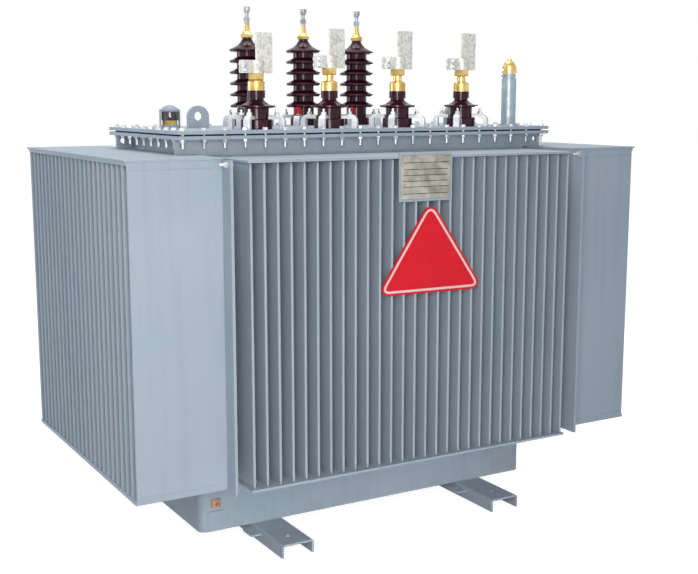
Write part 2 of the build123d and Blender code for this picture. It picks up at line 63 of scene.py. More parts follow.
# one shader value; the operators add Math nodes
class Wire:
    def __init__(self, finish, socket):
        self.finish = finish
        self.socket = socket

    def maths(self, operation, first, second):
        return self.finish.node("Math", {"operation": operation}, {0: first, 1: second})

    def __add__(self, other):
        return self.maths("ADD", self, other)

    def __radd__(self, other):
        return self.maths("ADD", other, self)

    def __sub__(self, other):
        return self.maths("SUBTRACT", self, other)

    def __rsub__(self, other):
        return self.maths("SUBTRACT", other, self)

    def __mul__(self, other):
        return self.maths("MULTIPLY", self, other)

    def __rmul__(self, other):
        return self.maths("MULTIPLY", other, self)


# the node tree of a material or a world, with one method for any node
class Finish:
    def __init__(self, owner):
        owner.use_nodes = True
        self.owner = owner
        self.tree = owner.node_tree
        self.output = next(node for node in self.tree.nodes if node.type.startswith("OUTPUT"))
        self.shader = self.output.inputs["Surface"].links[0].from_node

    def feed(self, socket, value):
        if isinstance(value, Wire):
            self.tree.links.new(value.socket, socket)
        else:
            socket.default_value = value

    def node(self, kind, settings=None, sockets=None, out=0):
        made = self.tree.nodes.new("ShaderNode" + kind)
        for key, value in (settings or {}).items():
            setattr(made, key, value)
        for key, value in (sockets or {}).items():
            self.feed(made.inputs[key], value)
        return Wire(self, made.outputs[out])

    def set(self, **sockets):
        for key, value in sockets.items():
            self.feed(self.shader.inputs[key.replace("_", " ")], value)

    def place(self, scale=(1, 1, 1)):
        spot = self.node("TexCoord", out="Object")
        return self.node("Mapping", {}, {"Vector": spot, "Scale": scale})

    def noise(self, scale, detail, stretch=(1, 1, 1)):
        return self.node("TexNoise", {}, {"Vector": self.place(stretch), "Scale": scale, "Detail": detail})

    def ramp(self, value, low, high):
        return self.node("MapRange", {"clamp": True}, {"Value": value, "From Min": low, "From Max": high})

    def patches(self, scale, detail, low, high, stretch=(1, 1, 1)):
        return self.ramp(self.noise(scale, detail, stretch), low, high)

    def blend(self, factor, first, second):
        sockets = {"Factor": factor, 6: first, 7: second}  # 6 and 7 are the colour inputs
        return self.node("Mix", {"data_type": "RGBA"}, sockets, out=2)

    def bump(self, height, strength, distance):
        sockets = {"Height": height, "Strength": strength, "Distance": distance}
        self.set(Normal=self.node("Bump", {}, sockets))

    def height(self):
        return self.node("SeparateXYZ", {}, {"Vector": self.node("TexCoord", out="Object")}, out="Z")

    def upward(self):
        return self.node("SeparateXYZ", {}, {"Vector": self.node("NewGeometry", out="Normal")}, out="Z")

    # mixes in another shader where the camera looks, straight on, in gloss or through glass
    def showWhereSeen(self, other, share):
        camera = self.node("LightPath", out="Is Camera Ray")
        gloss = self.node("LightPath", out="Is Glossy Ray")
        through = self.node("LightPath", out="Is Transmission Ray")
        seen = self.node("Math", {"operation": "MINIMUM"}, {0: camera + gloss + through, 1: 1.0})
        own = Wire(self, self.shader.outputs[0])
        mixed = self.node("MixShader", {}, {0: seen * share, 1: own, 2: other})
        self.feed(self.output.inputs["Surface"], mixed)


# a patch is noise scale, detail, lower cut and upper cut, with a stretch where it runs one way
tankPaintLook = dict(
    coat=chip(169, 182, 194),
    chalk=chip(183, 192, 201),
    # dark tone for the run marks, the specks and the darker patches towards the foot
    darkening=chip(112, 120, 126),
    dust=chip(196, 199, 198),
    clouds=(2.2, 4.0, 0.35, 0.7),
    runs=(26.0, 3.0, 0.5, 0.8, (1, 1, 0.05)),
    specks=(160.0, 2.0, 0.62, 0.72),
    darkeningTop=0.34,
    darkeningNoise=(14.0, 5.0),
    darkeningCut=(0.3, 0.7),
    dustTilt=(0.6, 1.0),
    dustClouds=(18.0, 5.0, 0.25, 0.75),
    shares=dict(clouds=0.5, runs=0.14, specks=0.16, darkening=0.2, dust=0.35),
    rough=0.42,
    cloudRough=0.1,
    dustRough=0.25,
    gloss=0.2,
    grain=(420.0, 2.0),
    grainBump=(0.06, 0.0006),
)


# satin enamel with chalky clouds, faint run marks, dust on what faces up, and darker in patches towards the
# foot
def makeTankPaint():
    look, share = tankPaintLook, tankPaintLook["shares"]
    paint = Finish(bpy.data.materials.new("tank_paint"))
    clouds = paint.patches(*look["clouds"])
    runs = paint.patches(*look["runs"])
    specks = paint.patches(*look["specks"])
    # the colour gets darker in noisy patches over the lowest part of the tank
    low = 1 - paint.ramp(paint.height(), 0.0, look["darkeningTop"])
    darkening = paint.ramp(low * paint.noise(*look["darkeningNoise"]), *look["darkeningCut"])
    dust = paint.ramp(paint.upward(), *look["dustTilt"]) * paint.patches(*look["dustClouds"])
    colour = paint.blend(clouds * share["clouds"], look["coat"], look["chalk"])
    colour = paint.blend(runs * share["runs"], colour, look["darkening"])
    colour = paint.blend(specks * share["specks"], colour, look["darkening"])
    colour = paint.blend(darkening * share["darkening"], colour, look["darkening"])
    colour = paint.blend(dust * share["dust"], colour, look["dust"])
    rough = look["rough"] + clouds * look["cloudRough"] + dust * look["dustRough"]
    paint.set(Base_Color=colour, Roughness=rough, Specular_IOR_Level=look["gloss"])
    paint.bump(paint.noise(*look["grain"]), *look["grainBump"])
    return paint.owner


porcelainLook = dict(
    glaze=chip(54, 16, 33),
    thin=chip(78, 27, 43),
    thinShare=0.55,
    clouds=(38.0, 4.0, 0.4, 0.75),
    rings=(60.0, 2.0, 0.5, 0.8, (0.1, 0.1, 1)),
    rough=0.15,
    ringRough=0.08,
    gloss=0.24,
    ripple=(90.0, 2.0),
    rippleBump=(0.08, 0.0008),
)


# brown salt glaze, thinner and redder in clouds
def makePorcelain():
    look = porcelainLook
    glaze = Finish(bpy.data.materials.new("brown_porcelain"))
    clouds = glaze.patches(*look["clouds"])
    rings = glaze.patches(*look["rings"])
    colour = glaze.blend(clouds * look["thinShare"], look["glaze"], look["thin"])
    rough = look["rough"] + rings * look["ringRough"]
    glaze.set(Base_Color=colour, Roughness=rough, Specular_IOR_Level=look["gloss"])
    glaze.bump(glaze.noise(*look["ripple"]), *look["rippleBump"])
    return glaze.owner


rubberLook = dict(
    dark=chip(26, 27, 30),
    pale=chip(44, 45, 47),
    crumbs=(300.0, 3.0, 0.4, 0.7),
    rough=0.75,
    crumbRough=0.15,
    crumbBump=(0.2, 0.0006),
)


def makeRubber():
    look = rubberLook
    rubber = Finish(bpy.data.materials.new("gasket_rubber"))
    crumbs = rubber.patches(*look["crumbs"])
    colour = rubber.blend(crumbs, look["dark"], look["pale"])
    rubber.set(Base_Color=colour, Roughness=look["rough"] + crumbs * look["crumbRough"])
    rubber.bump(crumbs, *look["crumbBump"])
    return rubber.owner


gaugeGlassLook = dict(
    smoke=chip(46, 31, 52),
    oil=chip(72, 52, 76),
    film=(30.0, 4.0, 0.35, 0.7, (1, 1, 0.3)),
    rough=0.06,
    filmRough=0.08,
    bending=1.5,
    coat=0.8,
    coatRough=0.03,
)


# smoked sight glass with an oil film inside
def makeGaugeGlass():
    look = gaugeGlassLook
    glass = Finish(bpy.data.materials.new("gauge_glass"))
    film = glass.patches(*look["film"])
    colour = glass.blend(film, look["smoke"], look["oil"])
    glass.set(Base_Color=colour, Roughness=look["rough"] + film * look["filmRough"], IOR=look["bending"])
    glass.set(Coat_Weight=look["coat"], Coat_Roughness=look["coatRough"])
    return glass.owner


turned = (1, 1, 12)  # lines run round an upright piece
drawn = (12, 12, 0.6)  # lines run along an upright piece
rolled = (1, 12, 12)  # lines run along the length
cast = (6, 6, 6)
metalLook = dict(
    clouding=24.0,
    cloudDetail=5.0,
    cloudCut=(0.38, 0.68),
    cloudRough=0.16,
    scuff=(120.0, 3.0),
    scuffRough=0.08,
    scuffDepth=0.0006,
    grain=0.05,
)
# bright tone, dull tone, roughness, run of the lines, share of metal
metals = {
    "fitting_brass": (chip(230, 204, 138), chip(186, 152, 84), 0.2, turned, 1.0),
    "stud_steel": (chip(198, 198, 207), chip(156, 157, 167), 0.3, turned, 0.45),
    "tinned_copper": (chip(232, 231, 224), chip(197, 195, 184), 0.42, cast, 0.5),
    "cast_claws": (chip(236, 238, 240), chip(206, 210, 214), 0.38, cast, 0.3),
    "filler_steel": (chip(178, 193, 202), chip(156, 172, 182), 0.24, drawn, 0.3),
    "earth_copper": (chip(190, 146, 118), chip(146, 106, 84), 0.45, cast, 0.7),
    "bolt_zinc": (chip(232, 234, 236), chip(186, 190, 194), 0.3, turned, 0.7),
    "plate_metal": (chip(184, 181, 170), chip(140, 136, 124), 0.3, rolled, 1.0),
}
clouding = {"tinned_copper": 95.0}  # smaller clouds than the rest
grain = {"cast_claws": 0.3}  # rougher skin than the rest


# machined or cast metal: two tones in clouds, fine turning or grain lines, rough in patches
def makeMetal(name, bright, dull, rough, lines, metallic):
    look = metalLook
    metal = Finish(bpy.data.materials.new(name))
    clouds = metal.patches(clouding.get(name, look["clouding"]), look["cloudDetail"], *look["cloudCut"])
    scuff = metal.noise(*look["scuff"], lines)
    rough = rough + clouds * look["cloudRough"] + scuff * look["scuffRough"]
    metal.set(Base_Color=metal.blend(clouds, bright, dull), Roughness=rough, Metallic=metallic)
    metal.bump(scuff, grain.get(name, look["grain"]), look["scuffDepth"])
    return metal.owner


enamelLook = dict(
    clouds=(11.0, 4.0, 0.35, 0.75),
    dull=(70.0, 3.0, 0.5, 0.8),
    dullRough=0.14,
    gloss=0.25,
    grain=(300.0, 2.0),
    grainBump=(0.04, 0.0004),
)
# fresh tone, faded tone, roughness
enamels = {
    "sign_enamel": (chip(236, 20, 40), chip(224, 22, 44), 0.24),
    "sign_border": (chip(246, 222, 216), chip(236, 208, 204), 0.28),
    "red_cap": (chip(186, 24, 42), chip(150, 20, 34), 0.2),
}


def makeEnamel(name, fresh, faded, rough):
    look = enamelLook
    enamel = Finish(bpy.data.materials.new(name))
    clouds = enamel.patches(*look["clouds"])
    dull = enamel.patches(*look["dull"])
    colour = enamel.blend(clouds, fresh, faded)
    rough = rough + dull * look["dullRough"]
    enamel.set(Base_Color=colour, Roughness=rough, Specular_IOR_Level=look["gloss"])
    enamel.bump(enamel.noise(*look["grain"]), *look["grainBump"])
    return enamel.owner


finishes = {
    "tank_paint": makeTankPaint(),
    "brown_porcelain": makePorcelain(),
    "gasket_rubber": makeRubber(),
    "gauge_glass": makeGaugeGlass(),
}
finishes.update({name: makeMetal(name, *look) for name, look in metals.items()})
finishes.update({name: makeEnamel(name, *look) for name, look in enamels.items()})
print("finishes made,", len(finishes))

for subpart in frame["record"]["subparts"]:
    holder = nodes[subpart["node"]]
    holder.data.materials.clear()
    holder.data.materials.append(finishes[subpart["material_slot"]])

facingLimit = 0.9  # least share of a normal along the axis that its face is turned to
mergeGap = 0.00002


# which faces an edit takes
def facesUp(face):
    return face.normal.z > facingLimit


def facesDown(face):
    return face.normal.z < -facingLimit


def facesEitherEnd(face):
    return abs(face.normal.z) > facingLimit


def facesFront(face):
    return face.normal.y < -facingLimit


def everyFace(face):
    return True


# modelling helpers
def clearSelection():
    if bpy.context.mode != "OBJECT":
        bpy.ops.object.mode_set(mode="OBJECT")
    bpy.ops.object.select_all(action="DESELECT")


def editFaces(piece, wanted):
    clearSelection()
    bpy.context.view_layer.objects.active = piece
    piece.select_set(True)
    bpy.ops.object.mode_set(mode="EDIT")
    bpy.ops.mesh.select_mode(type="FACE")
    bpy.ops.mesh.select_all(action="DESELECT")
    bpy.ops.object.mode_set(mode="OBJECT")
    for face in piece.data.polygons:
        face.select = wanted(face)
    bpy.ops.object.mode_set(mode="EDIT")


def soften(piece, wanted, offset, segments=2):
    editFaces(piece, wanted)
    bpy.ops.mesh.bevel(offset=offset, segments=segments, affect="EDGES")
    bpy.ops.object.mode_set(mode="OBJECT")


def prism(sides, radius, bottom, top, x=0.0, y=0.0):
    clearSelection()
    middle = (x, y, (bottom + top) / 2)
    bpy.ops.mesh.primitive_cylinder_add(vertices=sides, radius=radius, depth=top - bottom, location=middle)
    return bpy.context.object


def hexagon(width, bottom, top):
    return prism(6, width / math.sqrt(3), bottom, top)


def block(centre, size):
    clearSelection()
    bpy.ops.mesh.primitive_cube_add(size=1, location=centre, scale=size)
    return bpy.context.object


def joined(pieces, name):
    clearSelection()
    for piece in pieces:
        piece.select_set(True)
    bpy.context.view_layer.objects.active = pieces[0]
    if len(pieces) > 1:
        bpy.ops.object.join()
    whole = bpy.context.object
    bpy.ops.object.transform_apply(location=True, rotation=True, scale=True)
    whole.name = name
    whole.data.name = name
    return whole


def copied(piece, matrix):
    twin = piece.copy()
    twin.data = piece.data.copy()
    twin.matrix_world = matrix
    bpy.context.collection.objects.link(twin)
    return twin


def spread(model, places, name):
    twins = [copied(model, place) for place in places]
    bpy.data.objects.remove(model)
    return joined(twins, name)


def seat(piece, slot, smooth=35):
    editFaces(piece, everyFace)
    bpy.ops.mesh.remove_doubles(threshold=mergeGap)
    bpy.ops.mesh.normals_make_consistent(inside=False)
    bpy.ops.object.mode_set(mode="OBJECT")
    bpy.ops.object.shade_smooth_by_angle(angle=math.radians(smooth))
    piece.data.materials.clear()
    piece.data.materials.append(finishes[slot])
    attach(piece, body)
    return piece


def at(x, y, z, turn=0.0):
    return Matrix.Translation((x, y, z)) @ Matrix.Rotation(turn, 4, "Z")


# stands an upright piece on start and points it at end
def along(start, end):
    return Matrix.Translation(start) @ (end - start).to_track_quat("Z", "Y").to_matrix().to_4x4()


def axisOf(node):
    low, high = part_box(node)
    return (low.x + high.x) / 2, (low.y + high.y) / 2


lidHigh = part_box("lid")[1]
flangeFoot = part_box("tank_flange")[0].z
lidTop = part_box("hv_claws")[0].z
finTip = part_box("front_fins")[0].y
hvAxes = [axisOf(f"hv_porcelain_{number}") for number in (1, 2, 3)]
lvAxes = [axisOf(f"lv_porcelain_{number}") for number in (1, 2, 3, 4)]
endBanks = (("left", -1), ("right", 1))  # name and the way it faces along X

lidBolt = dict(
    endInset=0.027, sideInset=0.023, along=21, across=10, turn=0.7,
    head=0.017, headHeight=0.0075, nut=0.017, nutHeight=0.009, hexEdge=0.0014,
    washer=0.0105, washerHeight=0.0022, washerSides=20, washerEdge=0.0005,
    shank=0.005, shankSides=14, shankEdge=0.0015, tail=0.022,
)


# head and washer over the lid, shank in the open joint, nut and threaded tail under the frame
def makeLidBolt():
    size = lidBolt
    grip = flangeFoot - lidTop
    washerTop = size["washerHeight"]
    under = grip - size["washerHeight"]
    nutFoot = under - size["nutHeight"]
    head = hexagon(size["head"], washerTop, washerTop + size["headHeight"])
    soften(head, facesUp, size["hexEdge"])
    topWasher = prism(size["washerSides"], size["washer"], 0.0, washerTop)
    soften(topWasher, facesUp, size["washerEdge"], segments=1)
    lowWasher = prism(size["washerSides"], size["washer"], under, grip)
    nut = hexagon(size["nut"], nutFoot, under)
    soften(nut, facesDown, size["hexEdge"])
    shank = prism(size["shankSides"], size["shank"], nutFoot - size["tail"], washerTop)
    soften(shank, facesDown, size["shankEdge"], segments=1)
    return joined([head, topWasher, lowWasher, nut, shank], "lid_bolt")


def lidBoltPlaces():
    reachX = lidHigh.x - lidBolt["endInset"]
    reachY = lidHigh.y - lidBolt["sideInset"]
    spots = []
    for i in range(lidBolt["along"]):
        x = -reachX + 2 * reachX * i / (lidBolt["along"] - 1)
        spots += [(x, -reachY), (x, reachY)]
    for i in range(1, lidBolt["across"] - 1):
        y = -reachY + 2 * reachY * i / (lidBolt["across"] - 1)
        spots += [(-reachX, y), (reachX, y)]
    return [at(x, y, lidTop, lidBolt["turn"] * i) for i, (x, y) in enumerate(spots)]


lidBolts = seat(spread(makeLidBolt(), lidBoltPlaces(), "lid_bolts"), "bolt_zinc")
print("lid bolts", len(lidBolts.data.polygons))

clawStud = dict(
    reach=0.078, first=45, count=4, turn=0.5,
    nut=0.017, nutHeight=0.009, washer=0.011, washerHeight=0.002, washerSides=18,
    radius=0.005, sides=14, tail=0.012, edge=0.0012,
)


def clawSpots(axes):
    spots = []
    for x, y in axes:
        for number in range(clawStud["count"]):
            angle = math.radians(clawStud["first"] + 360 / clawStud["count"] * number)
            spots.append((x + clawStud["reach"] * math.cos(angle), y + clawStud["reach"] * math.sin(angle)))
    return spots


# washer, nut and stud end on the roof of each claw
def makeClawStud():
    size = clawStud
    nutFoot = size["washerHeight"]
    nutTop = nutFoot + size["nutHeight"]
    washer = prism(size["washerSides"], size["washer"], 0.0, nutFoot)
    nut = hexagon(size["nut"], nutFoot, nutTop)
    soften(nut, facesUp, size["edge"])
    stud = prism(size["sides"], size["radius"], 0.0, nutTop + size["tail"])
    soften(stud, facesUp, size["edge"], segments=1)
    return joined([washer, nut, stud], "claw_stud")


def dressClaws(kind, axes):
    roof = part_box(f"{kind}_claws")[1].z
    places = [at(x, y, roof, clawStud["turn"] * i) for i, (x, y) in enumerate(clawSpots(axes))]
    seat(spread(makeClawStud(), places, f"{kind}_claw_studs"), "bolt_zinc")


dressClaws("hv", hvAxes)
dressClaws("lv", lvAxes)

redCap = dict(
    radius=0.0175, height=0.031, sides=28, dome=0.85, domeSegments=6, smooth=50,
    skirt=0.02, skirtHeight=0.005, skirtEdge=0.0015,
)


# domed plastic cap pushed over the front left stud of the middle and right tall bushings
def makeRedCap():
    size = redCap
    dome = prism(size["sides"], size["radius"], size["skirtHeight"], size["height"])
    soften(dome, facesUp, size["radius"] * size["dome"], size["domeSegments"])
    skirt = prism(size["sides"], size["skirt"], 0.0, size["skirtHeight"])
    soften(skirt, facesUp, size["skirtEdge"])
    return joined([dome, skirt], "red_cap")


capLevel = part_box("hv_claws")[1].z + clawStud["washerHeight"]
capReach = clawStud["reach"] * math.cos(math.radians(clawStud["first"]))
capPlaces = [at(x - capReach, y - capReach, capLevel) for x, y in hvAxes[1:]]
seat(spread(makeRedCap(), capPlaces, "red_caps"), "red_cap", redCap["smooth"])
print("claws dressed")

topNut = dict(
    drop=0.026, neck=0.0095, flare=0.0145, band=0.0125, sides=24,
    edge=0.003, segments=3, lift=0.001,
)


# flared nut at the top of each tall stud
def makeTopNut():
    size = topNut
    widen = size["flare"] / size["neck"]
    nut = prism(size["sides"], size["neck"], -size["drop"], -size["band"])
    editFaces(nut, facesUp)
    bpy.ops.transform.resize(value=(widen, widen, 1))
    bpy.ops.mesh.extrude_region_move(TRANSFORM_OT_translate={"value": (0, 0, size["band"])})
    bpy.ops.mesh.bevel(offset=size["edge"], segments=size["segments"], affect="EDGES")
    bpy.ops.object.mode_set(mode="OBJECT")
    return joined([nut], "top_nut")


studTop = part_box("hv_stud_1")[1].z + topNut["lift"]
seat(spread(makeTopNut(), [at(x, y, studTop) for x, y in hvAxes], "hv_top_nuts"), "stud_steel")

flagBolt = dict(
    out=0.049, levels=(0.012, 0.034), ear=0.03,
    head=0.017, headHeight=0.008, edge=0.0012, washer=0.0105, washerHeight=0.002, washerSides=18,
    stem=0.005, stemSides=14, stub=0.0005, tail=0.006,
)


# two bolts through the ear of each flag terminal, stub in front and tail behind
def makeFlagBolt():
    size = flagBolt
    face = size["ear"] / 2
    headFoot = face + size["washerHeight"]
    headTop = headFoot + size["headHeight"]
    parts = []
    for side, end in ((1, size["stub"]), (-1, size["tail"])):
        washer = prism(size["washerSides"], size["washer"], face, headFoot)
        head = hexagon(size["head"], headFoot, headTop)
        soften(head, facesUp, size["edge"])
        stem = prism(size["stemSides"], size["stem"], face, headTop + end)
        part = joined([washer, head, stem], "bolt_side")
        part.rotation_euler = (side * math.pi / 2, 0, 0)
        parts.append(part)
    return joined(parts, "flag_bolt")


def flagBoltPlaces():
    places = []
    for number, (x, y) in enumerate(lvAxes, start=1):
        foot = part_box(f"lv_flag_{number}")[0].z
        for level in flagBolt["levels"]:
            places.append(at(x - flagBolt["out"], y, foot + level))
    return places


seat(spread(makeFlagBolt(), flagBoltPlaces(), "flag_bolts"), "bolt_zinc")
print("terminals dressed")

nameplate = dict(
    left=-0.107, right=0.12, bottom=1.271, top=1.443, gap=0.0005, back=0.004,
    frame=0.008, recess=0.002, margin=0.0088, proud=0.003, lift=0.0005, edge=0.0008,
    rules=(0.16, 0.3, 0.42, 0.54, 0.66, 0.8), ruleShare=0.9, ruleDepth=0.0004, ruleHeight=0.0022,
)


# bare metal nameplate in a folded painted frame, against the edge of the top plate
def makeNameplate():
    size = nameplate
    width = size["right"] - size["left"]
    height = size["top"] - size["bottom"]
    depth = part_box("front_top_plate")[0].y - size["gap"] - size["back"] / 2
    centre = Vector(((size["left"] + size["right"]) / 2, depth, (size["bottom"] + size["top"]) / 2))
    holder = joined([block(centre, (width, size["back"], height))], "nameplate_frame")
    editFaces(holder, facesFront)
    bpy.ops.mesh.inset(thickness=size["frame"], depth=0)
    bpy.ops.mesh.extrude_region_move(TRANSFORM_OT_translate={"value": (0, size["recess"], 0)})
    bpy.ops.object.mode_set(mode="OBJECT")
    seat(holder, "tank_paint")
    inner = (width - 2 * size["margin"], size["proud"], height - 2 * size["margin"])
    plate = joined([block(centre - Vector((0, size["lift"], 0)), inner)], "nameplate")
    soften(plate, facesFront, size["edge"])
    seat(plate, "plate_metal")
    front = depth - size["lift"] - size["proud"] / 2
    ruleSize = (inner[0] * size["ruleShare"], size["ruleDepth"], size["ruleHeight"])
    rules = [block((centre.x, front, size["bottom"] + height * share), ruleSize) for share in size["rules"]]
    seat(joined(rules, "nameplate_rules"), "gasket_rubber")


makeNameplate()

triangleSign = dict(
    top=(0.0325, 1.276), left=(-0.194, 0.9375), right=(0.2725, 0.934), gap=0.0005,
    corner=0.056, cornerSegments=8, thick=0.003, rim=0.008, band=0.0085,
)


# bare red triangle with rounded corners and a pale border
def makeSign():
    size = triangleSign
    clearSelection()
    bpy.ops.mesh.primitive_circle_add(vertices=3, fill_type="NGON", location=(0, 0, 0))
    sign = bpy.context.object
    corners = (size["top"], size["left"], size["right"])
    for vertex, (x, z) in zip(sign.data.vertices, corners):
        vertex.co = (x, finTip - size["gap"], z)
    sign = joined([sign], "warning_triangle")
    editFaces(sign, everyFace)
    bpy.ops.mesh.bevel(offset=size["corner"], segments=size["cornerSegments"], affect="VERTICES")
    bpy.ops.mesh.select_all(action="SELECT")
    bpy.ops.mesh.extrude_region_move(TRANSFORM_OT_translate={"value": (0, -size["thick"], 0)})
    bpy.ops.mesh.inset(thickness=size["rim"], depth=0)
    bpy.ops.mesh.inset(thickness=size["band"], depth=0)
    bpy.ops.object.mode_set(mode="OBJECT")
    seat(sign, "sign_enamel")
    sign.data.materials.append(finishes["sign_border"])
    front = [face for face in sign.data.polygons if facesFront(face)]
    middle = max(front, key=lambda face: face.area)
    for face in front:
        if face is not middle and len(set(face.vertices) & set(middle.vertices)) > 1:
            face.material_index = 1  # the pale band runs round the middle


makeSign()
print("plates made")

gaugeSleeve = dict(radius=0.0315, sides=48, edge=0.0025, segments=3, smooth=50)


# sight glass as wide as the cap above it
def makeGaugeSleeve():
    size = gaugeSleeve
    low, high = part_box("gauge_glass")
    sleeve = prism(size["sides"], size["radius"], low.z, high.z, *axisOf("gauge_glass"))
    soften(sleeve, facesEitherEnd, size["edge"], size["segments"])
    seat(joined([sleeve], "gauge_sleeve"), "gauge_glass", size["smooth"])
    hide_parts("gauge_glass")


makeGaugeSleeve()

weldBead = dict(
    sides=8, pitch=0.008, waist=0.8, jitter=0.0005, merge=0.0001, smooth=60,
    seam=0.0055, foot=0.004, endInset=0.03, skidInset=0.012, skidRun=0.106,
    fillerRing=0.04, gaugeRing=0.03, ringSegments=64, ringSeed=7,
)


# one ripple of weld, repeated along a straight joint
def makeBead(start, end, radius):
    size = weldBead
    start, end = Vector(start), Vector(end)
    count = int((end - start).length / size["pitch"])
    step = (end - start).length / count
    bead = joined([prism(size["sides"], radius * size["waist"], 0.0, step / 2)], "bead")
    editFaces(bead, facesUp)
    bpy.ops.transform.resize(value=(1 / size["waist"], 1 / size["waist"], 1))
    bpy.ops.mesh.extrude_region_move(TRANSFORM_OT_translate={"value": (0, 0, step / 2)})
    bpy.ops.transform.resize(value=(size["waist"], size["waist"], 1))
    editFaces(bead, facesEitherEnd)
    bpy.ops.mesh.delete(type="FACE")
    bpy.ops.object.mode_set(mode="OBJECT")
    row = bead.modifiers.new("row", "ARRAY")
    row.count = count
    row.use_relative_offset = False
    row.use_constant_offset = True
    row.constant_offset_displace = (0, 0, step)
    row.use_merge_vertices = True
    row.merge_threshold = size["merge"]
    bpy.ops.object.modifier_apply(modifier="row")
    bpy.ops.object.mode_set(mode="EDIT")
    bpy.ops.mesh.select_all(action="SELECT")
    bpy.ops.mesh.fill_holes(sides=0)
    bpy.ops.mesh.select_all(action="SELECT")
    bpy.ops.transform.vertex_random(offset=size["jitter"], seed=count)
    bpy.ops.object.mode_set(mode="OBJECT")
    bead.matrix_world = along(start, end)
    return bead


# ring of weld on the lid, round an upright tube
def makeRingBead(node, radius):
    size = weldBead
    clearSelection()
    bpy.ops.mesh.primitive_torus_add(
        location=(*axisOf(node), lidTop),
        major_segments=size["ringSegments"],
        minor_segments=size["sides"],
        major_radius=radius,
        minor_radius=size["foot"],
    )
    ring = bpy.context.object
    bpy.ops.object.mode_set(mode="EDIT")
    bpy.ops.transform.vertex_random(offset=size["jitter"], seed=size["ringSeed"])
    bpy.ops.object.mode_set(mode="OBJECT")
    return ring


# beads where the collar stands on the bank plates, and where lugs, filler, gauge and skids are welded on
def makeWelds():
    size = weldBead
    tankLow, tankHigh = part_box("tank_body")
    plateLow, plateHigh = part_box("front_top_plate")
    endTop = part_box("left_top_plate")[1].z
    endLow, endHigh = tankLow.y + size["endInset"], tankHigh.y - size["endInset"]
    beads = []
    for y in (tankLow.y, tankHigh.y):
        beads.append(makeBead((plateLow.x, y, plateHigh.z), (plateHigh.x, y, plateHigh.z), size["seam"]))
    for x in (tankLow.x, tankHigh.x):
        beads.append(makeBead((x, endLow, endTop), (x, endHigh, endTop), size["seam"]))
    for side in ("left", "right"):
        lugLow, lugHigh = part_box(f"{side}_lifting_lug")
        for y in (lugLow.y, lugHigh.y):
            beads.append(makeBead((lugLow.x, y, lugLow.z), (lugHigh.x, y, lugLow.z), size["foot"]))
        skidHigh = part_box(f"{side}_skid")[1]
        right = skidHigh.x - size["skidInset"]
        left = right - size["skidRun"]
        for y in (tankLow.y, tankHigh.y):
            beads.append(makeBead((left, y, skidHigh.z), (right, y, skidHigh.z), size["foot"]))
    beads.append(makeRingBead("filler_pipe", size["fillerRing"]))
    beads.append(makeRingBead("gauge_base", size["gaugeRing"]))
    seat(joined(beads, "weld_beads"), "tank_paint", size["smooth"])


makeWelds()
print("welds run")

tipBar = dict(height=0.012, thick=0.008, proud=0.003, edge=0.0015, finMargin=0.003, smooth=40)
seamRidge = dict(
    drop=0.028, radius=0.0024, sides=12, rounding=0.6, sunk=0.0008, smooth=60,
    rootEnd=0.04, tipEnd=0.008, seamInset=0.003,
)


# flat bar across the fin tips of an end bank
def makeTipBar(tip, outward, nearY, farY, bottom):
    size = tipBar
    x = tip + outward * (size["proud"] - size["thick"] / 2)
    centre = (x, (nearY + farY) / 2, bottom + size["height"] / 2)
    bar = joined([block(centre, (size["thick"], farY - nearY, size["height"]))], "tip_bar")
    soften(bar, everyFace, size["edge"])
    return bar


# pressed ridge where the pinched end of a fin begins
def makeRidge(start, end):
    size = seamRidge
    start, end = Vector(start), Vector(end)
    ridge = joined([prism(size["sides"], size["radius"], 0.0, (end - start).length)], "ridge")
    soften(ridge, facesEitherEnd, size["radius"] * size["rounding"])
    ridge.matrix_world = along(start, end)
    return ridge


# bars, ridges and top seam of both end banks
def dressEndBanks():
    size = seamRidge
    bars, ridges, seams = [], [], []
    for side, outward in endBanks:
        finLow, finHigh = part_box(f"{side}_fins")
        plateLow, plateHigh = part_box(f"{side}_top_plate")
        tip, root = (finLow.x, finHigh.x) if outward < 0 else (finHigh.x, finLow.x)
        nearY, farY = plateLow.y + tipBar["finMargin"], plateHigh.y - tipBar["finMargin"]
        for bottom in (finLow.z, finHigh.z - tipBar["height"]):
            bars.append(makeTipBar(tip, outward, nearY, farY, bottom))
        inner, outer = root + outward * size["rootEnd"], tip - outward * size["tipEnd"]
        for y, inward in ((nearY, 1), (farY, -1)):
            ridgeY = y + inward * size["sunk"]
            for z in (finLow.z + size["drop"], finHigh.z - size["drop"]):
                ridges.append(makeRidge((inner, ridgeY, z), (outer, ridgeY, z)))
            seamY = y + inward * size["seamInset"]
            seams.append(makeBead((inner, seamY, finHigh.z), (outer, seamY, finHigh.z), weldBead["foot"]))
    seat(joined(bars, "fin_tip_bars"), "tank_paint", tipBar["smooth"])
    seat(joined(ridges, "fin_seam_ridges"), "tank_paint", size["smooth"])
    seat(joined(seams, "fin_top_seams"), "tank_paint", weldBead["smooth"])


dressEndBanks()
print("end banks dressed")

stripBolt = dict(
    inset=0.0235, drop=0.015, grip=0.01, washer=0.0105, washerHeight=0.002, washerSides=18,
    nut=0.017, nutHeight=0.009, head=0.017, headHeight=0.0065, edge=0.0012,
    radius=0.005, sides=14, tail=0.019,
)


